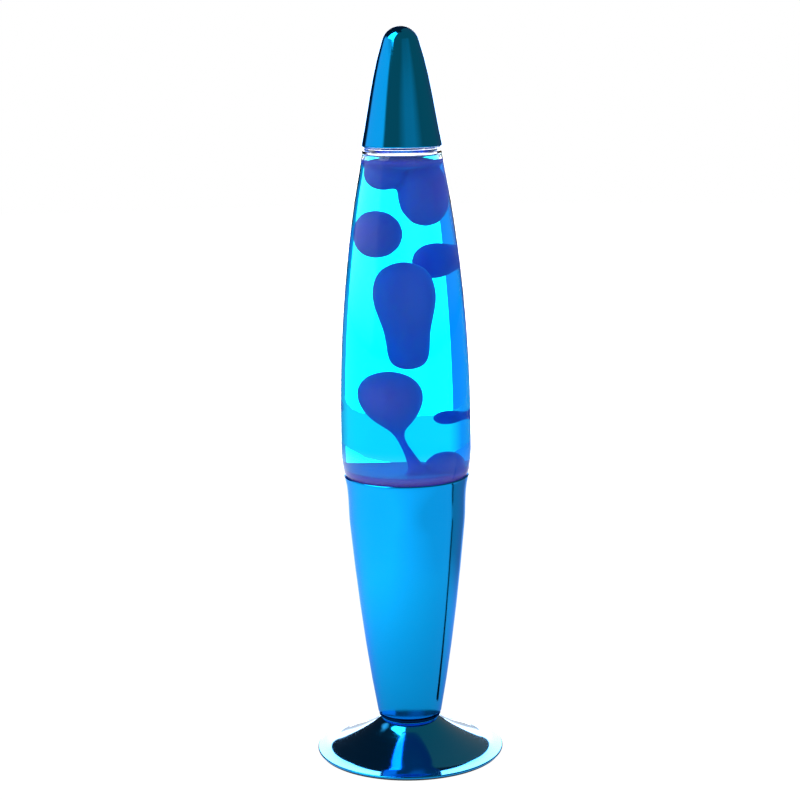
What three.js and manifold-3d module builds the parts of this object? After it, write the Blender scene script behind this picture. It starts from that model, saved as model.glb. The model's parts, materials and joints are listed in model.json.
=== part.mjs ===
// Rocket-shaped lava lamp: a glass bottle of liquid and wax stands in a lit metal base, under a metal cap.
// Millimetres, +Z up. The origin is on the supporting surface at the lamp's axis, and the front faces -Y.
import * as THREE from "three";
import { mergeVertices } from "three/addons/utils/BufferGeometryUtils.js";
import Module from "manifold-3d";

const wasm = await Module();
wasm.setup();

// ---- Driving dimensions ----
const HEIGHT = 420; // surface to the cap's tip
const FOOT_RADIUS = 54.5;
const BELLY_RADIUS = 37.4; // the bottle at its widest
const BELLY_Z = 196;
const UPPER_BOW = 812; // radius of the bottle's long curve above the belly
const LOWER_BOW = 312; // and below it
const CAP_EDGE_Z = 354;
const CAP_EDGE_RADIUS = 22.7;
const RIM_Z = 166.6; // top of the base cone's rolled rim
const LIQUID_TOP_Z = 350;
const POOL_TOP_Z = 171;
const GLASS_WALL = 2.4;
const SHEET = 1.0; // spun sheet metal
const GAP = 0.3; // clearance between pieces that touch
const BORE = 5.3; // clearance radius round the threaded tube
const TUBE_RADIUS = 5; // M10 threaded tube

const SIDES = 24; // sides of the large turned pieces
const SMALL_SIDES = 16; // sides of the small turned pieces
const WAX_SIDES = 14;

// ---- Geometry helpers ----
function signedVolume(geometry) {
  const at = geometry.attributes.position;
  const index = geometry.index.array;
  const [a, b, c] = [new THREE.Vector3(), new THREE.Vector3(), new THREE.Vector3()];
  let sum = 0;
  for (let i = 0; i < index.length; i += 3) {
    a.fromBufferAttribute(at, index[i]);
    b.fromBufferAttribute(at, index[i + 1]);
    c.fromBufferAttribute(at, index[i + 2]);
    sum += a.dot(b.cross(c)) / 6;
  }
  return sum;
}

// Joins shared vertices, drops triangles of no area, and turns the faces outwards.
function closed(source) {
  source.deleteAttribute("normal");
  source.deleteAttribute("uv");
  const geometry = mergeVertices(source, 1e-4);
  const old = geometry.index.array;
  const kept = [];
  for (let i = 0; i < old.length; i += 3) {
    const [a, b, c] = [old[i], old[i + 1], old[i + 2]];
    if (a !== b && b !== c && c !== a) kept.push(a, b, c);
  }
  geometry.setIndex(kept);
  if (signedVolume(geometry) < 0) geometry.setIndex(kept.reverse());
  return geometry;
}

// Turns an outline of [radius, z] points round the Z axis.
function turned(outline, sides = SMALL_SIDES) {
  const points = outline.map(([r, z]) => new THREE.Vector2(r, z));
  return closed(new THREE.LatheGeometry(points, sides).rotateX(Math.PI / 2));
}

const loop = (outline) => [...outline, outline[0]];

// A ring or tube with a square section.
function tube(inner, outer, low, high, sides = SMALL_SIDES) {
  return turned(loop([[inner, low], [outer, low], [outer, high], [inner, high]]), sides);
}

function arc(centreR, centreZ, radius, fromDeg, toDeg, steps) {
  return Array.from({ length: steps + 1 }, (_, i) => {
    const angle = THREE.MathUtils.degToRad(fromDeg + ((toDeg - fromDeg) * i) / steps);
    return [centreR + radius * Math.cos(angle), centreZ + radius * Math.sin(angle)];
  });
}

function bezier(from, control, to, steps) {
  const curve = new THREE.QuadraticBezierCurve(
    new THREE.Vector2(...from), new THREE.Vector2(...control), new THREE.Vector2(...to));
  return curve.getPoints(steps).map((p) => [p.x, p.y]);
}

// A rounded body of level rings: each station is [x, y, z, radius], and the first and last have no radius.
function lofted(stations, grow = 0, steps = Math.round(stations.length * 1.4)) {
  const centres = new THREE.SplineCurve(stations.map(([x, y]) => new THREE.Vector2(x, y)));
  const outline = new THREE.SplineCurve(stations.map(([, , z, r]) => new THREE.Vector2(r, z)));
  const low = stations[0][2];
  const high = stations[stations.length - 1][2];
  const stretch = 1 + (2 * grow) / (high - low);
  const positions = [];
  for (let i = 0; i <= steps; i++) {
    const tip = i === 0 || i === steps;
    const centre = centres.getPoint(i / steps);
    const { x: radius, y: z } = outline.getPoint(i / steps);
    const ringRadius = tip ? 0 : radius + grow;
    const ringZ = (low + high) / 2 + (z - (low + high) / 2) * stretch;
    for (let j = 0; j <= WAX_SIDES; j++) {
      const angle = (2 * Math.PI * (j % WAX_SIDES)) / WAX_SIDES;
      const [dx, dy] = [ringRadius * Math.cos(angle), ringRadius * Math.sin(angle)];
      positions.push(centre.x + dx, centre.y + dy, ringZ);
    }
  }
  const index = [];
  for (let i = 0; i < steps; i++) {
    for (let j = 0; j < WAX_SIDES; j++) {
      const a = i * (WAX_SIDES + 1) + j;
      const b = a + WAX_SIDES + 1;
      index.push(a, a + 1, b, a + 1, b + 1, b);
    }
  }
  const geometry = new THREE.BufferGeometry();
  geometry.setAttribute("position", new THREE.Float32BufferAttribute(positions, 3));
  geometry.setIndex(index);
  return closed(geometry);
}

function egg(x, y, z, radius, halfHeight, grow = 0) {
  const rings = 6;
  const stations = arc(0, z, 1, -90, 90, rings).map(([r, ringZ], i) => {
    const tip = i === 0 || i === rings;
    return [x, y, z + (ringZ - z) * halfHeight, tip ? 0 : r * radius];
  });
  return lofted(stations, grow, rings);
}

// A round wire along a list of points.
function wire(points, radius, sides, steps) {
  const path = new THREE.CatmullRomCurve3(points.map((p) => new THREE.Vector3(...p)));
  const section = new THREE.Shape();
  section.absarc(0, 0, radius, 0, 2 * Math.PI);
  const options = { steps, curveSegments: sides, extrudePath: path, bevelEnabled: false };
  return closed(new THREE.ExtrudeGeometry(section, options));
}

// ---- Joining and cutting ----
function solid(geometry) {
  const vertProperties = new Float32Array(geometry.attributes.position.array);
  const triVerts = new Uint32Array(geometry.index.array);
  return new wasm.Manifold(new wasm.Mesh({ numProp: 3, vertProperties, triVerts }));
}

function fromSolid(body) {
  const mesh = body.getMesh();
  const geometry = new THREE.BufferGeometry();
  geometry.setAttribute("position", new THREE.BufferAttribute(mesh.vertProperties, 3));
  geometry.setIndex(new THREE.BufferAttribute(mesh.triVerts, 1));
  return geometry;
}

const joined = (...pieces) => fromSolid(pieces.map(solid).reduce((all, piece) => all.add(piece)));
const cut = (body, ...tools) =>
  fromSolid(tools.map(solid).reduce((left, tool) => left.subtract(tool), solid(body)));

// ---- Finishes ----
const finish = (color, roughness, metalness, opacity = 1) =>
  new THREE.MeshStandardMaterial({ color, roughness, metalness, opacity, transparent: opacity < 1 });
const blueMetal = finish(0x0a86d8, 0.15, 1);
const darkMetal = finish(0x06304f, 0.25, 1);
const zinc = finish(0xc4c8cc, 0.35, 1);
const brass = finish(0xc9a24a, 0.3, 1);
const blackRubber = finish(0x16181a, 0.85, 0);
const ceramic = finish(0xece7dc, 0.5, 0);
const glass = finish(0xe8f6fa, 0.05, 0, 0.3);
const blackGlass = finish(0x101216, 0.3, 0);
const liquidBlue = finish(0x00d8f8, 0.05, 0, 0.6);
const waxBlue = finish(0x2a3fae, 0.45, 0);
const linerWhite = finish(0xe4e4dc, 0.7, 0);
const tungsten = finish(0x6b6e72, 0.4, 1);

const lamp = new THREE.Group();
function place(name, geometry, material) {
  const mesh = new THREE.Mesh(geometry, material);
  mesh.name = name;
  lamp.add(mesh);
  return mesh;
}

// ---- Foot: a spun trumpet with a hemmed edge, on a rubber ring ----
const FOOT_TOP_Z = 20.2;
const FOOT_FLARE = [[17, FOOT_TOP_Z - 0.5], [27.6, 10.4], [47.5, 3.2]]; // the curve's start, control and end
const lowered = ([r, z]) => [r - SHEET * 0.45, z - SHEET];
const footOutline = loop([
  [BORE, FOOT_TOP_Z],
  [16.2, FOOT_TOP_Z],
  ...bezier(...FOOT_FLARE, 6),
  [54.1, 2.4],
  [FOOT_RADIUS, 2],
  [54.3, 1.3],
  [53.9, 1.4],
  [53.5, 1.6],
  ...bezier(...FOOT_FLARE.map(lowered), 6).reverse(),
  [15.9, FOOT_TOP_Z - SHEET],
  [BORE, FOOT_TOP_Z - SHEET],
]);

// The cord enters square to the foot, half way up its back.
const [flareTop, flareControl, flareEnd] = FOOT_FLARE;
const inletAt = [0, 1].map((i) => (flareTop[i] + 2 * flareControl[i] + flareEnd[i]) / 4);
const inletTilt = Math.atan2(flareTop[1] - flareEnd[1], flareEnd[0] - flareTop[0]);
const atInlet = (geometry) => geometry.rotateX(-inletTilt).translate(0, ...inletAt);
const INLET_NECK = 4;
const INLET_REACH = 4;
const inletHole = tube(0, INLET_NECK + GAP, -INLET_REACH, INLET_REACH);
place("foot", cut(turned(footOutline, SIDES), atInlet(inletHole)), blueMetal);
place("cord_grommet", atInlet(turned(loop([
  [2.9, -3.2], [5.2, -3.2], [5.4, -1.9], [INLET_NECK, -1.9], [INLET_NECK, 0.5], [6.2, 0.5], [5.8, 1.9],
  [2.9, 2.2],
]))), blackRubber);
place("rubber_ring", tube(49.6, 53.2, 0, 1.3, SIDES), blackRubber);

// ---- Neck: a collar and a dark spacer between the foot and the base cone ----
const SPACER_Z = 21.6;
const CONE_BASE_Z = 23.4;
place("neck_collar", turned(loop([
  [BORE, FOOT_TOP_Z + GAP], [16.7, FOOT_TOP_Z + GAP], [17.2, 20.7], [17.2, 21], [16.9, SPACER_Z - GAP],
  [BORE, SPACER_Z - GAP],
]), SIDES), blueMetal);
place("neck_spacer", turned(loop([
  [BORE, SPACER_Z], [17.7, SPACER_Z], [18, 21.9], [18.1, 22.6], [17.9, CONE_BASE_Z - GAP],
  [BORE, CONE_BASE_Z - GAP],
]), SIDES), darkMetal);

// ---- Base cone: a spun shell with a floor and a rolled rim that the bottle stands in ----
const BEAD = 0.8;
const CONE_WALL = [[18.6, CONE_BASE_Z + 0.7], [29.1, 81.5], [35.6, RIM_Z - 2]]; // as for the foot's flare
place("base_cone", turned(loop([
  [BORE, CONE_BASE_Z],
  [17.8, CONE_BASE_Z],
  ...bezier(...CONE_WALL, 6),
  ...arc(35.2, RIM_Z - BEAD, BEAD, -45, 225, 5),
  ...bezier(...CONE_WALL.map(([r, z]) => [r - SHEET, z]), 6).reverse(),
  [17.2, CONE_BASE_Z + SHEET],
  [BORE, CONE_BASE_Z + SHEET],
]), SIDES), blueMetal);

// ---- Threaded tube that clamps the foot, neck and cone, with its nut and washers ----
place("threaded_tube", tube(3.5, TUBE_RADIUS, 6.5, 35), zinc);
place("lock_washer", tube(BORE, 8.4, 17.7, FOOT_TOP_Z - SHEET - GAP), zinc);
place("cone_washer", tube(BORE, 9.5, CONE_BASE_Z + SHEET + GAP, 27.6), zinc);

function hexNut(acrossFlats, low, high) {
  const outline = new THREE.Shape();
  for (let i = 0; i < 6; i++) {
    const angle = (Math.PI / 3) * i;
    const corner = acrossFlats / Math.sqrt(3);
    outline[i ? "lineTo" : "moveTo"](corner * Math.cos(angle), corner * Math.sin(angle));
  }
  outline.closePath();
  outline.holes.push(new THREE.Path().absarc(0, 0, BORE, 0, 2 * Math.PI, true));
  const options = { depth: high - low, curveSegments: SMALL_SIDES / 2, bevelEnabled: false };
  return closed(new THREE.ExtrudeGeometry(outline, options).translate(0, 0, low));
}
place("clamp_nut", hexNut(15, 13.2, 17.4), zinc);

// ---- Lampholder: cap, sleeve, insert, terminal screws, thread shell and sprung centre contact ----
place("lampholder_cap", turned(loop([
  [BORE, 27.9], [11.5, 27.9], [13.4, 29.8], [13.8, 42.6], [12.4, 42.6], [12, 31], [10.9, 29.6],
  [BORE, 29.6],
])), ceramic);

const screwOutline = (grow) => [
  [0, 33 - grow], [2.3 + grow, 33 - grow], [2.3 + grow, 35.2 + grow], [1.5 + grow, 35.2 + grow],
  [1.5 + grow, 44 + grow], [0, 44 + grow],
];
const screwPlaces = [["left", -7.6], ["right", 7.6]];
const screwAt = (x, grow) => turned(screwOutline(grow), 12).translate(x, 0, 0);
const insertBlank = turned([[0, 35.5], [11.3, 35.5], [11.3, 50], [0, 50]]);
place("lampholder_insert", cut(insertBlank, ...screwPlaces.map(([, x]) => screwAt(x, GAP))), ceramic);
for (const [side, x] of screwPlaces) place(`terminal_screw_${side}`, screwAt(x, 0), brass);

place("lampholder_sleeve", turned(loop([
  [12, 43], [13.9, 43], [14.1, 62], [13.2, 79.4], [12.4, 80], [8.9, 80], [8.9, 77.6], [11.4, 77], [12, 62],
])), ceramic);
place("socket_shell", tube(7.5, 8.4, 52, 76), brass);

const CONTACT_WIDTH = 4;
const contactOutline = new THREE.Shape([
  [-6, 50.3], [3, 50.3], [4.4, 51.4], [3.4, 53.6], [0.8, 55.7], [-2, 55.7],
  [-2, 55.1], [0.5, 55.1], [2.9, 53.2], [3.6, 51.7], [2.7, 50.9], [-6, 50.9],
].map(([x, z]) => new THREE.Vector2(x, z)));
const contactOptions = { depth: CONTACT_WIDTH, bevelEnabled: false };
const contactStrip = new THREE.ExtrudeGeometry(contactOutline, contactOptions).rotateX(Math.PI / 2);
place("centre_contact", closed(contactStrip.translate(0, CONTACT_WIDTH / 2, 0)), brass);

// ---- Reflector bulb with a 14 mm screw cap ----
const BULB_TIP_Z = 56;
const THREAD_PITCH = 2.82;
const THREAD_TURNS = 5;
const THREAD_MINOR = 6.4;
const THREAD_MAJOR = 6.9;
place("bulb_contact", turned([[0, BULB_TIP_Z], [2.4, 56.2], [3.4, 57.5], [0, 57.5]]), zinc);
place("bulb_insulator", turned([[0, 57.8], [4.2, 57.8], [6, 60.2], [0, 60.2]]), blackGlass);

const threadCrests = Array.from({ length: THREAD_TURNS }, (_, i) => {
  const z = 61.5 + THREAD_PITCH * i;
  return [[THREAD_MINOR, z], [THREAD_MAJOR, z + THREAD_PITCH / 2]];
}).flat();
place("bulb_screw_shell", turned(loop([
  [6.1, 60.5], [THREAD_MINOR, 60.5], ...threadCrests, [THREAD_MINOR, 76], [6.9, 77.5], [6.9, 82], [6.3, 82],
  [6.3, 77.8], [5.9, 76],
])), zinc);

const BULB_WALL = 0.8;
const BULB_WIDEST_Z = 111;
const bulbOutside = [
  [6, 78.4], [6, 83.5], [8.2, 87.5], [14, 97.5], [18.4, 106], [19.5, BULB_WIDEST_Z], [18.6, 116],
  [15, 120.2], [8.2, 122.6], [0, 123.3],
];
const bulbInside = bulbOutside.map(([r, z]) =>
  [Math.max(r - BULB_WALL, 0), z < BULB_WIDEST_Z ? z : z - BULB_WALL]);
place("bulb_glass", turned(loop([...bulbOutside, ...bulbInside.reverse()])), glass);
place("bulb_stem", turned([
  [0, 79.5], [4.6, 79.5], [3.2, 83], [2.2, 88], [2.2, 95], [0, 95.4],
], 12), glass);
for (const [side, sign] of [["left", -1], ["right", 1]]) {
  const route = [[sign * 1.3, 0, 95.9], [sign * 3.4, 0, 101], [sign * 6.4, 0, 106]];
  place(`bulb_lead_${side}`, wire(route, 0.4, 6, 6), zinc);
}
const filamentRoute = [
  [-6.6, 0, 107], [-3.2, -1.2, 107.8], [0, -1.8, 108], [3.2, -1.2, 107.8], [6.6, 0, 107],
];
place("filament", wire(filamentRoute, 0.5, 6, 12), tungsten);

// ---- Bottle: one blown glass shell with a crown finish, under a crown closure ----
function bottleRadius(z) {
  const bow = z > BELLY_Z ? UPPER_BOW : LOWER_BOW;
  return BELLY_RADIUS - bow + Math.sqrt(bow ** 2 - (z - BELLY_Z) ** 2);
}
const innerRadius = (z) => bottleRadius(z) - GLASS_WALL;
const WALL_LOW_Z = 170;
const WALL_STEPS = 7;
const wallLevels = Array.from({ length: WALL_STEPS + 1 }, (_, i) =>
  WALL_LOW_Z + ((LIQUID_TOP_Z - WALL_LOW_Z) * i) / WALL_STEPS);

const bottleFoot = [
  [0, 152.3], [21, 151.3], [25, 150], [27.5, 150.2], [29.8, 151.6], [31.6, 154.5], [32.6, 158.5],
  [33.2, 163], [33.7, 165.6], [34.3, 166.5], [35.7, 167.5],
];
const bottleFloor = [
  [0, 154.8], [20, 153.9], [24.5, 153], [27, 153.6], [29, 155.5], [30.1, 158.5], [30.8, 163], [31.4, 165.6],
  [32.9, 168],
];
const bottleShoulder = [
  [22.3, 352.9], [21.8, 353.6], [20.5, 353.7], [19.8, 358], [16.6, 363], [13.4, 366.2], [12.6, 371.5],
  [13.4, 375], [13.3, 379.6], [12, 381],
];
const bottleMouth = [[9.6, 381], [9.2, 379], [9.4, 368.5], [12, 364.3], [16.6, 359], [18.6, 354]];
place("bottle_glass", turned([
  ...bottleFoot,
  ...wallLevels.map((z) => [bottleRadius(z), z]),
  ...bottleShoulder,
  ...bottleMouth,
  ...wallLevels.map((z) => [innerRadius(z), z]).reverse(),
  ...bottleFloor.slice().reverse(),
], SIDES), glass);
place("crown_liner", turned([[0, 381.3], [12.6, 381.3], [12.6, 382.6], [0, 382.6]]), linerWhite);
place("crown_closure", turned([
  [0, 383.7], [12.2, 383.7], [13.7, 383], [14.4, 381.6], [15.3, 375.7],
  [14.7, 375.7], [13.8, 380.4], [13.4, 382.2], [12.6, 382.9], [0, 382.9],
], SIDES), zinc);

// ---- Wax: a pool with a rising column, drops on their way, and a mass afloat under the surface ----
const WAX_GAP = 0.45;
const waxFoot = (grow) => bottleFloor.map(([r, z]) => [Math.max(r - WAX_GAP + grow, 0), z + 0.4 - grow]);
const poolOutline = (grow) => [
  ...waxFoot(grow), [innerRadius(WALL_LOW_Z) - WAX_GAP + grow, WALL_LOW_Z], [32.4, POOL_TOP_Z + grow],
  [0, POOL_TOP_Z + grow],
];
const column = [
  [5.4, -13, 164, 0], [5.4, -13, 168, 5], [4.6, -13, 174.5, 4.2], [2, -13.3, 181, 3], [-1.2, -13.6, 188, 2.4],
  [-3.8, -14, 194.5, 3.2], [-5.2, -14, 199, 7.6], [-6.6, -14, 205, 13], [-7.5, -14, 214, 16.3],
  [-7.7, -14, 221.6, 14.4], [-7.7, -14, 227, 8.6], [-7.7, -14, 229.2, 0],
];
const middleDrop = [
  [1.6, -8, 229.4, 0], [1.6, -8, 231, 6], [1.6, -8, 235.5, 9.3], [1.5, -8, 244, 10.1], [1, -8, 253, 11.2],
  [0.4, -8, 262, 13.6], [0, -8, 271, 14.7], [-0.2, -8, 280, 13.2], [-0.2, -8, 286.5, 8.6],
  [-0.2, -8, 289.6, 0],
];
const COIL = { radius: 25.5, wire: 1.3, z: 154.9 };
const coilRing = (grow) =>
  closed(new THREE.TorusGeometry(COIL.radius, COIL.wire + grow, 6, SIDES).translate(0, 0, COIL.z));

const pool = (grow) => joined(
  turned(poolOutline(grow), SIDES), lofted(column, grow), egg(17.5, -6, POOL_TOP_Z, 11.2, 11.2, grow));
const floating = (grow) => joined(
  egg(10, -3, 327, 12.4, 18, grow),
  egg(-7.7, -4, 338.5, 10, 9.5, grow),
  egg(0, 0, 345.4, 20.4, 4.5, grow));
const drops = {
  wax_drop_middle: (grow) => lofted(middleDrop, grow),
  wax_drop_left: (grow) => egg(-12.7, -7.5, 305.2, 12.5, 13, grow),
  wax_drop_right: (grow) => egg(10.7, 18.9, 286.8, 7.8, 9.8, grow),
  wax_drop_small: (grow) => egg(13.4, 27.3, 196, 4.2, 3.8, grow),
};
place("wax_pool", cut(pool(0), coilRing(GAP)), waxBlue);
place("wax_floating", floating(0), waxBlue);
for (const [name, shape] of Object.entries(drops)) place(name, shape(0), waxBlue);
place("wax_coil", coilRing(0), zinc);

// ---- Liquid: what is left of the bottle's inside, with a thin neck where the middle drop pinched off ----
const LIQUID_GAP = 0.35;
const liquidBlank = turned([
  [0, WALL_LOW_Z],
  ...wallLevels.map((z) => [innerRadius(z) - LIQUID_GAP, z]),
  [0, LIQUID_TOP_Z],
], SIDES);
const pinchedNeck = lofted([
  [-5, -12.3, 221, 0], [-3.5, -11.4, 225, 1.8], [-0.2, -9.2, 231, 1.8], [1.4, -8, 235, 0],
]);
const dropPockets = Object.values(drops).map((shape) => shape(GAP));
place("liquid", cut(liquidBlank, pool(GAP), floating(GAP), ...dropPockets, pinchedNeck), liquidBlue);

// ---- Cap: a spun cone with a ball nose that drops over the bottle's neck ----
const NOSE = 10.7; // radius of the ball nose
const noseCentreZ = HEIGHT - NOSE;
const tangentDeg = (() => {
  const reach = Math.hypot(CAP_EDGE_RADIUS, noseCentreZ - CAP_EDGE_Z);
  const toEdge = Math.atan2(CAP_EDGE_Z - noseCentreZ, CAP_EDGE_RADIUS);
  return THREE.MathUtils.radToDeg(toEdge + Math.acos(NOSE / reach));
})();
place("cap_shell", turned([
  ...arc(0, noseCentreZ, NOSE, 90, tangentDeg, 6),
  [CAP_EDGE_RADIUS, CAP_EDGE_Z + 0.6],
  [CAP_EDGE_RADIUS - 0.3, CAP_EDGE_Z],
  [CAP_EDGE_RADIUS - SHEET, CAP_EDGE_Z],
  ...arc(0, noseCentreZ, NOSE - SHEET, tangentDeg, 90, 6),
], SIDES), blueMetal);

export default lamp;
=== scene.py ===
"""The looks of a rocket-shaped lava lamp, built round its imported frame. Metres, +Z up, front facing -Y."""

import json
import math

import bpy
import numpy as np
from mathutils import Matrix, Vector


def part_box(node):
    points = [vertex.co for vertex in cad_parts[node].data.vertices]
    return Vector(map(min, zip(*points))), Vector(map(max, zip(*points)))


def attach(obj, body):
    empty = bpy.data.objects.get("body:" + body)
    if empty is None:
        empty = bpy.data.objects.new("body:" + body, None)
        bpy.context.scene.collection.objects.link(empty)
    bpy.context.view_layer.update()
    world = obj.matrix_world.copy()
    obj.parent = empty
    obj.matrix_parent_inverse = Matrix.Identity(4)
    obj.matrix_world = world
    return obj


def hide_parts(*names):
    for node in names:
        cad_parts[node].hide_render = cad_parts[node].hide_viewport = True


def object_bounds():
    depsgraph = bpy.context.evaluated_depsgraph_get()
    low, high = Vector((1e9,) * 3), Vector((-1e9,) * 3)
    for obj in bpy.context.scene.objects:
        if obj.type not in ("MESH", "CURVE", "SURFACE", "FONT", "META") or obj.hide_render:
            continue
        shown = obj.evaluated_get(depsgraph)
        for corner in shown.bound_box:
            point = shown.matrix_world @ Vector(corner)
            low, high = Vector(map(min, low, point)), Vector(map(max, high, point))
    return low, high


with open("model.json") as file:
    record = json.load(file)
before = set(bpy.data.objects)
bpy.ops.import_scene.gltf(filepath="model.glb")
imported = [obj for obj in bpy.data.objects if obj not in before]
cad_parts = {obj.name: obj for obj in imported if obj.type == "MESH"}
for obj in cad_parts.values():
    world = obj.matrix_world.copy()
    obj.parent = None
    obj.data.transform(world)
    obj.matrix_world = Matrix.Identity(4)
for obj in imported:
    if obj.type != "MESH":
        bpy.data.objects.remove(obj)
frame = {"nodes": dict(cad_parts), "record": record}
cad_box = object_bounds()

MM = 0.001
SEGMENTS = 160  # round the large turned pieces
SMALL_SEGMENTS = 64
FILLET = 0.25 * MM  # rounding of the turned pieces' corners
CORNER = math.radians(26)  # an outline that turns more than this has a corner there
TOUCHING = 0.005 * MM  # points nearer than this to a plane lie on it

# ---- Camera: the photograph's viewing angle ----
CAMERA_DISTANCE = 1.125
CAMERA_HEIGHT = 0.424
CAMERA_PITCH = math.radians(10.8)
CAMERA_YAW = math.radians(0.16)
CAMERA_ROLL = math.radians(-0.85)
CAMERA_LENS = 90
CAMERA_SENSOR = 36


def make_camera():
    data = bpy.data.cameras.new("camera")
    data.lens = CAMERA_LENS
    data.sensor_width = CAMERA_SENSOR
    camera = bpy.data.objects.new("camera", data)
    bpy.context.scene.collection.objects.link(camera)
    turn = Matrix.Rotation(CAMERA_YAW, 4, "Z") @ Matrix.Rotation(math.pi / 2 - CAMERA_PITCH, 4, "X")
    place = Matrix.Translation((0, -CAMERA_DISTANCE, CAMERA_HEIGHT))
    camera.matrix_world = place @ turn @ Matrix.Rotation(CAMERA_ROLL, 4, "Z")
    bpy.context.scene.camera = camera


# ---- Materials ----
class Shader:
    """A material's node tree, with its Principled node and shorthand for adding more nodes."""

    def __init__(self, name):
        self.material = bpy.data.materials.new(name)
        self.material.use_nodes = True
        self.tree = self.material.node_tree
        self.surface = self.tree.nodes["Principled BSDF"]
        self.output = self.tree.nodes["Material Output"]
        self.place = self.add("ShaderNodeTexCoord").outputs["Object"]

    def add(self, kind, inputs=None, **settings):
        node = self.tree.nodes.new(kind)
        for key, value in settings.items():
            setattr(node, key, value)
        for key, value in (inputs or {}).items():
            self.feed(node.inputs[key], value)
        return node

    def feed(self, socket, value):
        if isinstance(value, bpy.types.NodeSocket):
            self.tree.links.new(value, socket)
        else:
            socket.default_value = value

    def set(self, **inputs):
        for key, value in inputs.items():
            self.feed(self.surface.inputs[key.replace("_", " ")], value)

    def maths(self, operation, *values):
        return self.add("ShaderNodeMath", dict(enumerate(values)), operation=operation).outputs[0]

    def vector_maths(self, operation, *values, output="Vector"):
        return self.add("ShaderNodeVectorMath", dict(enumerate(values)), operation=operation).outputs[output]

    def part_of(self, vector, axis):
        return self.add("ShaderNodeSeparateXYZ", {0: vector}).outputs[axis]

    def noise(self, scale, detail=3.0, stretch=(1, 1, 1)):
        place = self.vector_maths("MULTIPLY", self.place, stretch)
        return self.add("ShaderNodeTexNoise", {"Vector": place, "Scale": scale, "Detail": detail}).outputs[0]

    def turned_lines(self, scale):
        """Fine rings round the Z axis, as a lathe tool leaves."""
        flat = self.vector_maths("MULTIPLY", self.place, (1, 1, 0))
        radius = self.vector_maths("LENGTH", flat, output="Value")
        along = self.maths("ADD", radius, self.part_of(self.place, "Z"))
        line = self.add("ShaderNodeCombineXYZ", {"X": along}).outputs[0]
        return self.add("ShaderNodeTexNoise", {"Vector": line, "Scale": scale, "Detail": 4.0}).outputs[0]

    def ranged(self, value, low, high, from_low=0.3, from_high=0.7):
        """Value, from one range, brought to another. A noise lies mostly between 0.3 and 0.7."""
        ends = {"From Min": from_low, "From Max": from_high, "To Min": low, "To Max": high}
        return self.add("ShaderNodeMapRange", {"Value": value, **ends}).outputs["Result"]

    def blend(self, factor, first, second):
        mix = self.add("ShaderNodeMix", data_type="RGBA")
        self.feed(mix.inputs[0], factor)
        self.feed(mix.inputs[6], first)
        self.feed(mix.inputs[7], second)
        return mix.outputs[2]

    def mottled(self, noise, first, second):
        """Two colours mixed in the noise's patches."""
        return self.blend(self.ranged(noise, 0.0, 1.0), first, second)

    def bump(self, height, strength, distance):
        inputs = {"Height": height, "Strength": strength, "Distance": distance}
        self.set(Normal=self.add("ShaderNodeBump", inputs).outputs[0])


def color(r, g, b):
    return (r, g, b, 1.0)


def lacquered_metal(name, light, dark, coat=0.35, edge=color(0.0, 0.5, 1.0)):
    """Polished spun aluminium under a transparent coloured lacquer. Edge is its colour at a slant."""
    shader = Shader(name)
    cloud = shader.noise(14.0, 2.0)
    lines = shader.turned_lines(900.0)
    shader.set(
        Base_Color=shader.mottled(cloud, light, dark),
        Metallic=1.0,
        Roughness=shader.ranged(lines, 0.06, 0.13),
        Specular_Tint=edge,
        Coat_Weight=coat,
        Coat_Roughness=0.03,
        Coat_IOR=1.22,
    )
    shader.bump(lines, 0.04, 0.02 * MM)
    return shader.material


def plated_metal(name, light, dark, rough=0.3):
    """Stamped or turned plated metal, with a fine grain and duller patches."""
    shader = Shader(name)
    patches = shader.noise(260.0, 5.0)
    lines = shader.turned_lines(2200.0)
    shader.set(
        Base_Color=shader.mottled(patches, light, dark),
        Metallic=1.0,
        Roughness=shader.ranged(patches, rough * 0.8, rough * 1.3),
    )
    shader.bump(lines, 0.15, 0.05 * MM)
    return shader.material


def moulded(name, light, dark, rough, grain, depth):
    """Moulded rubber or plastic with a grained skin."""
    shader = Shader(name)
    patches = shader.noise(90.0, 4.0)
    shader.set(
        Base_Color=shader.mottled(patches, light, dark),
        Roughness=shader.ranged(patches, rough * 0.85, rough * 1.1),
    )
    shader.bump(shader.noise(grain, 2.0), 0.3, depth)
    return shader.material


GLASS_IOR = 1.5
LIQUID_IOR = 1.33
LIQUID_COLOR = color(0.03, 0.975, 0.998)
LIQUID_DENSITY = 130.0


def clear_glass(name, tint, ior=GLASS_IOR):
    """Blown glass, with the faint waves that it has when it is seen at a slant."""
    shader = Shader(name)
    shader.set(
        Base_Color=shader.mottled(shader.noise(20.0, 1.0), color(1, 1, 1), tint),
        Roughness=0.0,
        IOR=ior,
        Specular_Tint=color(0.55, 0.55, 0.55),
        Transmission_Weight=1.0,
    )
    shader.bump(shader.noise(28.0, 1.0, (1, 1, 0.35)), 0.12, 0.25 * MM)
    return shader.material


def lamp_liquid(name, ior):
    """Clear dyed liquid: its colour deepens with the way that light goes through it."""
    shader = Shader(name)
    shader.set(
        Base_Color=shader.mottled(shader.noise(30.0, 1.0), color(1, 1, 1), color(0.96, 1, 1)),
        Roughness=0.0,
        IOR=ior,
        Transmission_Weight=1.0,
    )
    body = shader.add("ShaderNodeVolumeAbsorption", {"Color": LIQUID_COLOR, "Density": LIQUID_DENSITY})
    shader.tree.links.new(body.outputs[0], shader.output.inputs["Volume"])
    return shader.material


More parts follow.
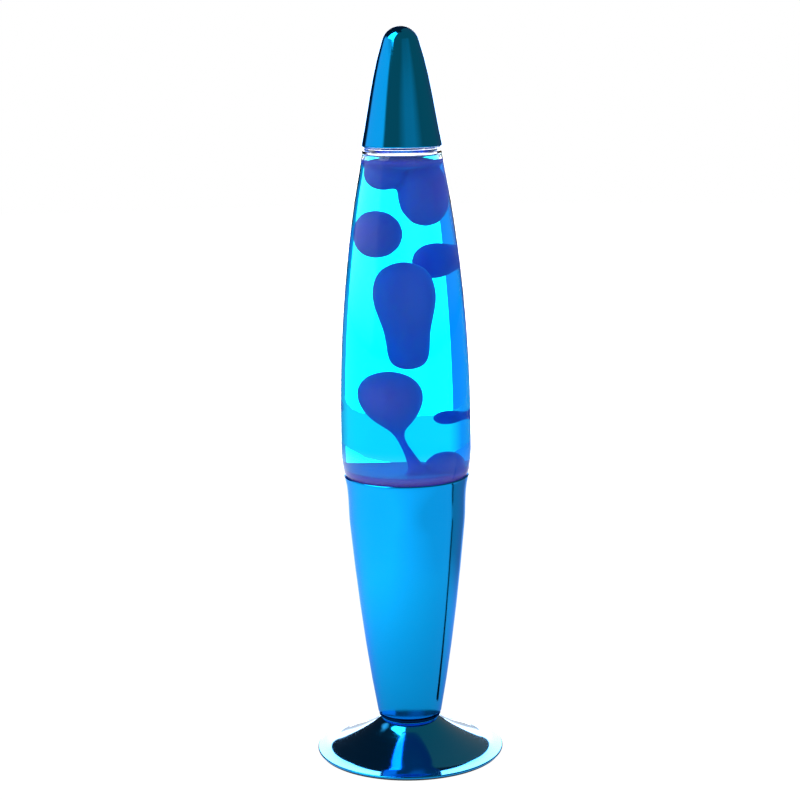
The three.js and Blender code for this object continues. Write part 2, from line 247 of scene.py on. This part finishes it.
def lamp_wax(name):
    """Warm translucent wax under liquid. Its emission is a painted glow that stands in for the bulb's light
    from below, stronger at the bottom and fainter at the top.
    """
    shader = Shader(name)
    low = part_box("wax_pool")[0].z
    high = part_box("wax_floating")[1].z
    # painted glow: an emission strength, stronger at the bottom, that stands in for the bulb's light shining
    # up into the wax
    glow = shader.ranged(shader.part_of(shader.place, "Z"), 0.14, 0.1, low, high)
    streaks = shader.noise(55.0, 3.0, (1, 1, 0.4))
    shader.set(
        Base_Color=shader.mottled(streaks, color(0.05, 0.17, 0.7), color(0.07, 0.13, 0.58)),
        Roughness=0.3,
        IOR=1.02,
        Sheen_Weight=1.0,
        Sheen_Roughness=0.35,
        Sheen_Tint=color(0.0, 0.4, 1.0),
        Subsurface_Weight=0.85,
        Subsurface_Radius=(0.5, 1.2, 3.0),
        Subsurface_Scale=3.0 * MM,
        # the painted glow's colour and strength, in place of light from the bulb
        Emission_Color=color(0.28, 0.1, 0.5),
        Emission_Strength=glow,
    )
    shader.bump(streaks, 0.15, 0.4 * MM)
    return shader.material


# ---- Turned shapes ----
def outline(node, to_axis=Matrix()):
    """A turned CAD node's outline as (radius, height) points in order, with the solid on its left, and
    whether it closes on itself. It is read from the node's own edges that lie at the right of its axis."""
    mesh = frame["nodes"][node].data
    where = {}
    for vertex in mesh.vertices:
        p = to_axis @ vertex.co
        if abs(p.y) < TOUCHING and p.x > -TOUCHING:
            where[vertex.index] = (round(p.x, 5), round(p.z, 5))
    near = {}
    for edge in mesh.edges:
        a, b = (where.get(i) for i in edge.vertices)
        if a and b and a != b:
            near.setdefault(a, set()).add(b)
            near.setdefault(b, set()).add(a)
    ends = sorted(p for p, others in near.items() if len(others) == 1)
    path = [ends[0] if ends else min(near)]
    while True:
        onward = [p for p in sorted(near[path[-1]]) if p not in path]
        if not onward:
            break
        path.append(onward[0])
    points = [Vector((max(r, 0.0), z)) for r, z in path]
    area = sum(a.x * b.y - b.x * a.y for a, b in zip(points, points[1:] + points[:1]))
    return (points if area > 0 else points[::-1]), not ends


def softened(points, is_loop, fillet=FILLET):
    """The outline with its gentle bends curved and its corners rounded."""
    count = len(points)
    last = count if is_loop else count - 1

    def at(i):
        if is_loop:
            return points[i % count]
        if 0 <= i < count:
            return points[i]
        inner = points[1] if i < 0 else points[-2]
        return Vector((-inner.x, inner.y))

    def is_corner(i):
        if not is_loop and i % count in (0, count - 1) and at(i).x > 1e-6:
            return True
        return (at(i) - at(i - 1)).angle(at(i + 1) - at(i), 0.0) > CORNER

    def slope(i):
        before, after = at(i) - at(i - 1), at(i + 1) - at(i)
        weighed = before.normalized() * after.length + after.normalized() * before.length
        return weighed / (before.length + after.length)

    fine, corners = [], []
    for i in range(last):
        a, b = at(i), at(i + 1)
        straight = b - a
        from_slope = straight if is_corner(i) else slope(i) * straight.length
        to_slope = straight if is_corner(i + 1) else slope(i + 1) * straight.length
        bend = from_slope.angle(straight, 0.0) + straight.angle(to_slope, 0.0)
        steps = max(1, min(8, math.ceil(math.degrees(bend) / 1.2)))
        for k in range(steps):
            t = k / steps
            fine.append(a * (1 + 2 * t) * (1 - t) ** 2 + from_slope * t * (1 - t) ** 2
                        + b * (3 - 2 * t) * t * t + to_slope * (t - 1) * t * t)
            corners.append(k == 0 and is_corner(i) and (is_loop or i > 0))
    if not is_loop:
        fine.append(points[-1].copy())
        corners.append(False)
    rounded = []
    for i, (point, corner) in enumerate(zip(fine, corners)):
        if not corner:
            rounded.append(point)
            continue
        before, after = fine[i - 1] - point, fine[(i + 1) % len(fine)] - point
        start = point + before.normalized() * min(fillet, before.length * 0.4)
        end = point + after.normalized() * min(fillet, after.length * 0.4)
        for t in (0, 0.25, 0.5, 0.75, 1):
            rounded.append(start * (1 - t) ** 2 + point * 2 * t * (1 - t) + end * t * t)
    return rounded


def spun(name, points, is_loop, segments=SEGMENTS, shape=None, to_axis=Matrix()):
    """A mesh turned from an outline. shape(radius, height, angle) may change each point's radius."""
    count = len(points)
    vertices, rings, normals = [], [], []

    def across(point):
        return Vector((-point.x, point.y))

    for i, point in enumerate(points):
        before = points[i - 1] if is_loop or i else across(points[1])
        after = points[(i + 1) % count] if is_loop or i < count - 1 else across(points[-2])
        along = (after - before).normalized()
        on_axis = point.x < 1e-7
        ring = []
        for j in range(1 if on_axis else segments):
            angle = 2 * math.pi * j / segments
            radius = shape(point.x, point.y, angle) if shape else point.x
            ring.append(len(vertices))
            vertices.append((radius * math.cos(angle), radius * math.sin(angle), point.y))
            normals.append((along.y * math.cos(angle), along.y * math.sin(angle), -along.x))
        rings.append(ring * segments if on_axis else ring)
    faces = []
    for i in range(count if is_loop else count - 1):
        low, high = rings[i], rings[(i + 1) % count]
        for j in range(segments):
            k = (j + 1) % segments
            face = [low[j], low[k], high[k], high[j]]
            faces.append(list(dict.fromkeys(face)))
    mesh = bpy.data.meshes.new(name)
    mesh.from_pydata(vertices, [], faces)
    mesh.shade_smooth()
    if not shape:
        mesh.normals_split_custom_set_from_vertices(normals)
    mesh.transform(to_axis.inverted())
    piece = bpy.data.objects.new(name, mesh)
    bpy.context.scene.collection.objects.link(piece)
    return piece


def body_of_node(node):
    return next(body for body, nodes in frame["record"]["behaviour"]["bodies"].items() if node in nodes)


def stands_for(piece, node, material):
    piece.data.materials.clear()
    piece.data.materials.append(material)
    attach(piece, body_of_node(node))
    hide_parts(node)
    return piece


def upright_axis(node):
    """The matrix that brings a turned node's own axis onto the Z axis."""
    low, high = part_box(node)
    return Matrix.Translation((-(low.x + high.x) / 2, -(low.y + high.y) / 2, 0))


def slanted_axis(node):
    """The same for a turned node that leans in the YZ plane. Its axis is the odd one of three main axes."""
    points = np.unique(np.round([v.co for v in frame["nodes"][node].data.vertices], 6), axis=0)
    middle = points.mean(0)
    widths, axes = np.linalg.eigh(np.cov((points - middle).T))
    odd = 0 if widths[1] - widths[0] > widths[2] - widths[1] else 2
    axis = Vector(axes[:, odd] if axes[2, odd] > 0 else -axes[:, odd])
    turn = Matrix.Rotation(math.atan2(axis.y, axis.z), 4, "X")
    return turn @ Matrix.Translation(-Vector(middle))


def turned_piece(node, material, segments=SMALL_SEGMENTS, fillet=FILLET, to_axis=None):
    to_axis = to_axis or upright_axis(node)
    points, is_loop = outline(node, to_axis)
    piece = spun(f"{node}_turned", softened(points, is_loop, fillet), is_loop, segments, to_axis=to_axis)
    return stands_for(piece, node, material)


# ---- Wax, liquid and coil ----
WAX_GRID = 0.8 * MM


def applied(piece):
    """Applies the piece's modifiers to its mesh."""
    evaluated = piece.evaluated_get(bpy.context.evaluated_depsgraph_get())
    mesh = bpy.data.meshes.new_from_object(evaluated)
    piece.modifiers.clear()
    piece.data = mesh
    return piece


def fit_to(piece, low, high):
    """Stretches the piece back to a box, which smoothing has made it shrink from."""
    points = np.empty((len(piece.data.vertices), 3))
    piece.data.vertices.foreach_get("co", points.ravel())
    now_low, now_high = points.min(0), points.max(0)
    points = (points - now_low) / (now_high - now_low) * np.array(high - low) + np.array(low)
    piece.data.vertices.foreach_set("co", points.ravel())


def wax_piece(node, material):
    """The wax node's shape with its facets and seams melted away."""
    mesh = frame["nodes"][node].data.copy()
    piece = bpy.data.objects.new(f"{node}_soft", mesh)
    bpy.context.scene.collection.objects.link(piece)
    grid = piece.modifiers.new("grid", "REMESH")
    grid.mode = "VOXEL"
    grid.voxel_size = WAX_GRID
    melt = piece.modifiers.new("melt", "SMOOTH")
    melt.factor = 0.6
    melt.iterations = 40
    applied(piece)
    fit_to(piece, *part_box(node))
    piece.data.shade_smooth()
    return stands_for(piece, node, material)


WETTING = 0.03 * MM  # how far the liquid's sides stay clear of the glass
MENISCUS = 0.9 * MM


def bottle_piece(glass, wet_glass):
    """The glass bottle. Where the liquid wets it, it bends light only as much as glass does in liquid."""
    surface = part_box("liquid")[1].z
    points, is_loop = outline("bottle_glass")
    fine = softened(points, is_loop)
    top = max(range(len(fine)), key=lambda i: fine[i].y)
    piece = spun("bottle_glass_blown", fine, is_loop)
    stands_for(piece, "bottle_glass", glass)
    piece.data.materials.append(wet_glass)
    for face in piece.data.polygons:
        start = face.index // SEGMENTS
        face.material_index = int(start > top and fine[start].y < surface)


def liquid_piece(body, skin):
    """The liquid as one body that fills the bottle up to its surface, round the wax. Its sides leave the
    bending of light to the wet glass, and its surface is a skin of its own."""
    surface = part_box("liquid")[1].z
    points, _ = outline("bottle_glass")
    fine = softened(points, False)
    top = max(range(len(fine)), key=lambda i: fine[i].y)
    wall = [p for p in reversed(fine[top:]) if p.y < surface]
    wall = [Vector((max(p.x - WETTING, 0.0), p.y + WETTING)) for p in wall]
    wall = [p for p in wall if p.y < surface - MENISCUS]
    rim = wall[-1].x - 0.1 * MM
    crest = [(0.0, MENISCUS), (0.35 * MM, 0.5 * MENISCUS), (0.9 * MM, 0.15 * MENISCUS), (2 * MM, 0.0)]
    crest = [Vector((rim - inward, surface + rise - MENISCUS)) for inward, rise in crest]
    piece = spun("liquid_body", wall + crest + [Vector((0.0, crest[-1].y))], False)
    stands_for(piece, "liquid", body)
    piece.data.materials.append(skin)
    for face in piece.data.polygons:
        face.material_index = int(face.index // SEGMENTS >= len(wall))


def wound_wire(name, path, turns, radius, wire, material, node, cyclic=False):
    """A wire wound in a close helix round a path(t), where t runs from 0 to 1."""
    data = bpy.data.curves.new(name, "CURVE")
    data.dimensions = "3D"
    data.bevel_depth = wire
    data.bevel_resolution = 2
    data.use_fill_caps = True
    spline = data.splines.new("POLY")
    steps = turns * 10
    spline.points.add(steps - 1)
    spline.use_cyclic_u = cyclic
    for i in range(steps):
        t = i / (steps if cyclic else steps - 1)
        middle, onward = path(t), path(t + 1e-4)
        along = (onward - middle).normalized()
        side = along.cross(Vector((0, 0, 1))).normalized()
        lift = side.cross(along)
        angle = 2 * math.pi * turns * t
        spline.points[i].co = (*(middle + radius * (side * math.cos(angle) + lift * math.sin(angle))), 1)
    piece = bpy.data.objects.new(name, data)
    bpy.context.scene.collection.objects.link(piece)
    return stands_for(piece, node, material)


def coil_piece(material):
    low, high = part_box("wax_coil")
    thick = (high.z - low.z) / 2
    ring = high.x - thick
    wire = 0.22 * MM

    def path(t):
        angle = 2 * math.pi * t
        return Vector((ring * math.cos(angle), ring * math.sin(angle), (low.z + high.z) / 2))

    return wound_wire("wax_coil_wound", path, 150, thick - wire, wire, material, "wax_coil", True)


def filament_piece(material):
    low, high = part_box("filament")
    wire = 0.07 * MM

    thick = 0.5 * MM

    def path(t):
        arch = 1 - (2 * t - 1) ** 2
        return Vector((
            low.x + (high.x - low.x) * t,
            high.y - thick + (low.y - high.y + 2 * thick) * arch,
            low.z + thick + (high.z - low.z - 2 * thick) * arch,
        ))

    return wound_wire("filament_wound", path, 60, 0.4 * MM, wire, material, "filament")


def clamped(value):
    return min(1.0, max(0.0, value))


def crown_piece(material):
    """The crimped crown closure, with its 21 flutes."""
    flutes = 21
    depth = 0.035  # of the radius
    low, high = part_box("crown_closure")
    points, is_loop = outline("crown_closure")
    fine = []
    smooth = softened(points, is_loop)
    for a, b in zip(smooth, smooth[1:]):
        steps = max(1, math.ceil((b - a).length / (0.5 * MM)))
        fine += [a.lerp(b, k / steps) for k in range(steps)]
    fine.append(smooth[-1])

    def fluted(radius, height, angle):
        share = clamped((high.z - height) / (high.z - low.z) * 1.3 - 0.25)
        return radius * (1 - depth * share * (1 + math.cos(flutes * angle)) / 2)

    piece = spun("crown_closure_fluted", fine, is_loop, flutes * 12, fluted)
    return stands_for(piece, "crown_closure", material)


def screw_shell_piece(material):
    """The bulb's screw cap, with its rolled thread."""
    low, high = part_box("bulb_screw_shell")
    pitch = 2.82 * MM
    outer, inner, skirt = high.x, high.x - 0.5 * MM, high.x - 0.9 * MM
    thread_end = high.z - 6 * MM
    steps = 90
    outside = [Vector((outer, low.z + (high.z - low.z) * i / steps)) for i in range(steps + 1)]
    inside = [Vector((skirt, p.y)) for p in reversed(outside)]

    def rolled(radius, height, angle):
        ends = clamped((thread_end - height) / MM) * clamped((height - low.z) / MM)
        depth = (outer - inner) * ends * (0.5 - 0.5 * math.cos(2 * math.pi * height / pitch - angle))
        return radius - depth

    piece = spun("bulb_screw_shell_threaded", outside + inside, True, SMALL_SEGMENTS, rolled)
    return stands_for(piece, "bulb_screw_shell", material)


def kept_piece(node, material, bevel):
    """A CAD node whose shape is right: it keeps its mesh and gets softer edges."""
    piece = frame["nodes"][node]
    piece.data.materials.clear()
    piece.data.materials.append(material)
    weld = piece.modifiers.new("weld", "WELD")
    weld.merge_threshold = 1e-6
    edges = piece.modifiers.new("edges", "BEVEL")
    edges.width = bevel
    edges.segments = 3
    edges.limit_method = "ANGLE"


def bored(piece, plug):
    """Cuts the plug out of the piece, and keeps the piece's smooth normals."""
    whole = bpy.data.objects.new("whole", piece.data.copy())
    bpy.context.scene.collection.objects.link(whole)
    cut = piece.modifiers.new("cut", "BOOLEAN")
    cut.object = plug
    cut.solver = "EXACT"
    applied(piece)
    smooth = piece.modifiers.new("smooth", "DATA_TRANSFER")
    smooth.object = whole
    smooth.use_loop_data = True
    smooth.data_types_loops = {"CUSTOM_NORMAL"}
    smooth.loop_mapping = "POLYINTERP_NEAREST"
    applied(piece)
    for helper in (whole, plug):
        bpy.data.objects.remove(helper)
    return piece


def foot_piece(material):
    """The foot, with the hole that the grommet's groove sits in."""
    to_axis = slanted_axis("cord_grommet")
    points, is_loop = outline("foot")
    piece = spun("foot_spun", softened(points, is_loop), is_loop)
    grommet, _ = outline("cord_grommet", to_axis)
    bore = min(p.x for p in grommet)
    groove = min(p.x for p in grommet if p.x > bore + TOUCHING)
    hole = groove + 0.2 * MM
    reach = 6 * MM
    ends = [Vector((0, -reach)), Vector((hole, -reach)), Vector((hole, reach)), Vector((0, reach))]
    bored(piece, spun("plug", ends, False, SMALL_SEGMENTS, to_axis=to_axis))
    return stands_for(piece, "foot", material)


# ---- Studio: a white floor and glowing cards in a dark room ----
FLOOR_RADIUS = 3.5
FLOOR_SEEN = color(1.08, 1.08, 1.08)
FLOOR_BEHIND_GLASS = color(1.1, 0.9, 1.2)
LEFT_BEHIND_GLASS = color(0.1, 0.32, 1.1)
RIGHT_BEHIND_GLASS = color(0.12, 0.42, 1.0)
FRONT_BEHIND_GLASS = color(0.9, 0.95, 1.1)
ROOM = color(0.02, 0.022, 0.026)  # what shiny surfaces see where no card is
SOFT_LIGHT = color(0.8, 0.8, 0.8)  # what dull surfaces see
BEHIND_GLASS = color(0.5, 0.5, 0.9)  # what glass shows where no card is
WARM_ROOM = color(0.2, 0.135, 0.085)  # the room's warm walls, in the lamp's right side
SHADED_SIDE = (0.85, 0.53, 0.0)  # far out round this heading, mirrors see the floor dimmer
FLAG_AZIMUTH = math.radians(99)
FLAG_REACH = 0.07, 0.5  # its near end and its far end, from the lamp's axis
FLAG_WIDTH = 0.016, 0.028
FLAG_LIFT = 0.1 * MM
FLOOR_DROP = 0.05 * MM  # so that it doesn't touch the foot

CARD_STEP = 8.0  # degrees, the most that a flat facet of a bent card spans


def stage_piece(name, vertices, faces, material):
    mesh = bpy.data.meshes.new(name)
    mesh.from_pydata(vertices, [], faces)
    mesh.materials.append(material)
    piece = bpy.data.objects.new(name, mesh)
    bpy.context.scene.collection.objects.link(piece)
    return piece


def seen_through_glass(shader):
    """The floor's look through the bottle: bright behind and in front of it, and blue at the sides."""
    heading = shader.vector_maths("NORMALIZE", shader.place)
    rightward = shader.part_of(heading, "X")
    left = shader.ranged(rightward, 1.0, 0.0, -0.55, -0.35)
    right = shader.ranged(rightward, 0.0, 1.0, 0.6, 0.8)
    front = shader.ranged(shader.part_of(heading, "Y"), 1.0, 0.0, -0.2, 0.1)
    shade = shader.blend(left, FLOOR_BEHIND_GLASS, LEFT_BEHIND_GLASS)
    shade = shader.blend(right, shade, RIGHT_BEHIND_GLASS)
    return shader.blend(front, shade, FRONT_BEHIND_GLASS)


def seen_by_mirrors(shader):
    """How bright the floor is to a mirror: a pool of light, brighter at the left and dimmer close to the
    lamp, with a shaded sector far out at the right."""
    far = shader.vector_maths("LENGTH", shader.place, output="Value")
    heading = shader.vector_maths("NORMALIZE", shader.place)
    facing = shader.vector_maths("DOT_PRODUCT", heading, SHADED_SIDE, output="Value")
    sector = shader.maths("MULTIPLY", shader.ranged(facing, 0.0, 1.0, 0.88, 0.93),
                          shader.ranged(far, 0.0, 0.55, 0.22, 0.34))
    close_by = shader.ranged(far, 0.55, 1.0, 0.06, 0.26)
    far_out = shader.ranged(far, 1.0, 0.03, 0.6, 0.95)
    pool = shader.ranged(shader.part_of(shader.place, "X"), 1.3, 0.8, -0.15, 0.25)
    for share in (shader.maths("SUBTRACT", 1.0, sector), close_by, far_out):
        pool = shader.maths("MULTIPLY", pool, share)
    return shader.add("ShaderNodeCombineXYZ", {"X": pool, "Y": pool, "Z": pool}).outputs[0]


def make_floor():
    """A white floor that glows."""
    shader = Shader("floor")
    shader.set(Base_Color=color(0.93, 0.93, 0.93), Roughness=0.9)
    path = shader.add("ShaderNodeLightPath").outputs
    shade = shader.blend(path["Is Transmission Ray"], seen_by_mirrors(shader), seen_through_glass(shader))
    shade = shader.blend(path["Is Camera Ray"], shade, FLOOR_SEEN)
    light = shader.add("ShaderNodeEmission", {"Color": shade, "Strength": 1.0})
    mix = shader.add("ShaderNodeMixShader", {0: 0.92, 1: shader.surface.outputs[0], 2: light.outputs[0]})
    shader.tree.links.new(mix.outputs[0], shader.output.inputs["Surface"])
    sides = 64
    corner = Vector((FLOOR_RADIUS, 0, -FLOOR_DROP))
    corners = [Matrix.Rotation(2 * math.pi * i / sides, 3, "Z") @ corner for i in range(sides)]
    stage_piece("floor", corners, [tuple(range(sides))], shader.material)


def make_flag():
    """A thin dark strip on the floor for mirrors alone: it draws the dark line down the cone's side."""
    shader = Shader("flag")
    shader.set(Base_Color=color(0.0, 0.0, 0.0), Specular_IOR_Level=0.0)
    turn = Matrix.Rotation(FLAG_AZIMUTH, 3, "Z")
    corners = [turn @ Vector((side * width / 2, -reach, FLAG_LIFT))
               for reach, width in zip(FLAG_REACH, FLAG_WIDTH) for side in (-1, 1)]
    flag = stage_piece("flag", corners, [(0, 1, 3, 2)], shader.material)
    flag.visible_camera = False
    flag.visible_transmission = False
    flag.visible_diffuse = False
    flag.visible_shadow = False


def spread(low, high, soft, step):
    """Angles from low to high, with one more at soft from either end, and none further apart than step."""
    inner_low, inner_high = low + soft, high - soft
    count = max(1, math.ceil((inner_high - inner_low) / step))
    return [low] + [inner_low + (inner_high - inner_low) * i / count for i in range(count + 1)] + [high]


def glowing_card(name, azimuths, rises, distance, strength, soft=2.0, seen_by="both", tint=color(1, 1, 1)):
    """A card bent round the lamp that glows, less towards its edges. Its azimuths are in degrees to the right
    of the front, its rises in degrees above the middle of the lamp's height, and soft is the width of its
    fading edges in degrees. seen_by is mirrors, glass or both. A card for glass alone doesn't fade and hides
    what is behind it."""
    columns = spread(*azimuths, soft, CARD_STEP)
    rows = spread(*rises, soft, CARD_STEP)
    middle = (cad_box[0] + cad_box[1]) / 2
    corners = [middle + distance * Vector((
        math.sin(math.radians(turn)) * math.cos(math.radians(rise)),
        -math.cos(math.radians(turn)) * math.cos(math.radians(rise)),
        math.sin(math.radians(rise)),
    )) for rise in rows for turn in columns]
    across = len(columns)
    faces = [(k, k + 1, k + across + 1, k + across)
             for j in range(len(rows) - 1) for k in range(j * across, (j + 1) * across - 1)]
    shader = Shader(name)
    fade = shader.add("ShaderNodeAttribute", attribute_name="fade").outputs["Fac"]
    glow = shader.maths("MULTIPLY", fade, strength)
    light = shader.add("ShaderNodeEmission", {"Color": tint, "Strength": glow})
    if seen_by != "glass":
        clear = shader.add("ShaderNodeBsdfTransparent")
        light = shader.add("ShaderNodeAddShader", {0: light.outputs[0], 1: clear.outputs[0]})
    shader.tree.links.new(light.outputs[0], shader.output.inputs["Surface"])
    card = stage_piece(name, corners, faces, shader.material)
    fades = card.data.attributes.new("fade", "FLOAT", "POINT")
    fades.data.foreach_set("value", [
        float(seen_by == "glass" or 0 < j < len(rows) - 1 and 0 < i < across - 1)
        for j in range(len(rows)) for i in range(across)])
    card.visible_camera = False
    card.visible_diffuse = False
    card.visible_shadow = False
    card.visible_glossy = seen_by != "glass"
    card.visible_transmission = seen_by != "mirrors"


def make_world():
    world = bpy.data.worlds.new("studio")
    bpy.context.scene.world = world
    world.use_nodes = True
    tree = world.node_tree
    path = tree.nodes.new("ShaderNodeLightPath")
    shade = ROOM
    for kind, seen in (("Is Diffuse Ray", SOFT_LIGHT), ("Is Transmission Ray", BEHIND_GLASS),
                       ("Is Camera Ray", color(1, 1, 1))):
        mix = tree.nodes.new("ShaderNodeMix")
        mix.data_type = "RGBA"
        tree.links.new(path.outputs[kind], mix.inputs[0])
        if isinstance(shade, bpy.types.NodeSocket):
            tree.links.new(shade, mix.inputs[6])
        else:
            mix.inputs[6].default_value = shade
        mix.inputs[7].default_value = seen
        shade = mix.outputs[2]
    tree.links.new(shade, tree.nodes["Background"].inputs["Color"])


def make_lights():
    glowing_card("back_card", (161, 199), (-18, 25), 0.68, 4.0, 1.0, "mirrors")
    glowing_card("left_card", (-131, -52), (-2, 42), 1.0, 0.85, 8.0, "mirrors")
    glowing_card("window_card", (-102, -44), (36, 76), 1.3, 4.0, 2.0)
    glowing_card("front_card", (-16, 64), (-16, 46), 1.6, 0.25, 30.0, "mirrors")
    glowing_card("room_card", (-62, 165), (-2, 86), 1.9, 1.0, 4.0, "mirrors", WARM_ROOM)
    glowing_card("back_glass_card", (138, 203), (-12, 30), 0.68, 3.0, 0.5, "glass")
    glowing_card("left_glass_card", (203, 275), (-12, 30), 0.68, 1.0, 1.0, "glass", LEFT_BEHIND_GLASS)
    glowing_card("right_glass_card", (85, 138), (-12, 30), 0.68, 1.0, 1.0, "glass", RIGHT_BEHIND_GLASS)


def main():
    make_camera()
    blues = color(0.0, 0.41, 0.97), color(0.0, 0.36, 0.93)
    blue = lacquered_metal("blue_lacquered_metal", *blues)
    glossy_blue = lacquered_metal("glossy_blue_lacquered_metal", *blues, 1.0, color(1, 1, 1))
    navy = lacquered_metal("navy_metal", color(0.0, 0.03, 0.11), color(0.0, 0.02, 0.08), 0.0)
    zinc = plated_metal("zinc_plate", color(0.74, 0.76, 0.78), color(0.6, 0.62, 0.65))
    brass = plated_metal("brass", color(0.8, 0.6, 0.26), color(0.66, 0.46, 0.18))
    tin = plated_metal("tinplate", color(0.82, 0.83, 0.84), color(0.7, 0.71, 0.73), 0.18)
    tungsten = plated_metal("tungsten", color(0.42, 0.43, 0.45), color(0.3, 0.31, 0.33))
    blacks = color(0.03, 0.032, 0.035), color(0.05, 0.05, 0.055)
    rubber = moulded("black_rubber", *blacks, 0.75, 2600, 0.08 * MM)
    creams = color(0.82, 0.78, 0.68), color(0.74, 0.69, 0.58)
    phenolic = moulded("cream_phenolic", *creams, 0.4, 700, 0.03 * MM)
    liner = moulded("sealing_disc", color(0.8, 0.8, 0.76), color(0.7, 0.7, 0.66), 0.6, 1500, 0.05 * MM)
    glassy_blacks = color(0.01, 0.01, 0.012), color(0.02, 0.02, 0.022)
    black_glass = moulded("black_glass", *glassy_blacks, 0.15, 400, 0.02 * MM)
    bottle = clear_glass("bottle_glass", color(0.97, 1.0, 0.99))
    bulb = clear_glass("bulb_glass", color(0.98, 0.99, 1.0))
    wax = lamp_wax("blue_wax")

    foot_piece(glossy_blue)
    for node in ("base_cone", "cap_shell", "neck_collar"):
        turned_piece(node, blue, SEGMENTS)
    turned_piece("neck_spacer", navy, SEGMENTS)
    turned_piece("rubber_ring", rubber, SEGMENTS)
    turned_piece("cord_grommet", rubber, to_axis=slanted_axis("cord_grommet"))
    bottle_piece(bottle, clear_glass("wet_bottle_glass", color(0.97, 1.0, 0.99), GLASS_IOR / LIQUID_IOR))
    for node in ("threaded_tube", "lock_washer", "cone_washer", "bulb_contact"):
        turned_piece(node, zinc)
    for node in ("lampholder_cap", "lampholder_sleeve"):
        turned_piece(node, phenolic)
    for node in ("terminal_screw_left", "terminal_screw_right", "socket_shell"):
        turned_piece(node, brass)
    turned_piece("bulb_insulator", black_glass)
    turned_piece("bulb_glass", bulb)
    turned_piece("bulb_stem", bulb)
    turned_piece("crown_liner", liner)
    kept_piece("clamp_nut", zinc, 0.4 * MM)
    kept_piece("centre_contact", brass, 0.1 * MM)
    kept_piece("lampholder_insert", phenolic, 0.2 * MM)
    kept_piece("bulb_lead_left", zinc, 0.05 * MM)
    kept_piece("bulb_lead_right", zinc, 0.05 * MM)
    crown_piece(tin)
    screw_shell_piece(zinc)
    filament_piece(tungsten)
    coil_piece(zinc)
    for node in (n for n in frame["nodes"] if n.startswith("wax_") and n != "wax_coil"):
        wax_piece(node, wax)
    liquid_piece(lamp_liquid("cyan_liquid", 1.0), lamp_liquid("cyan_liquid_surface", LIQUID_IOR))

    make_floor()
    make_flag()
    make_world()
    make_lights()
    scene = bpy.context.scene
    scene.view_settings.view_transform = "Standard"
    scene.cycles.use_denoising = True
    scene.cycles.max_bounces = 24
    scene.cycles.transmission_bounces = 20
    scene.cycles.glossy_bounces = 8
    scene.cycles.caustics_refractive = True
    scene.cycles.caustics_reflective = True


main()
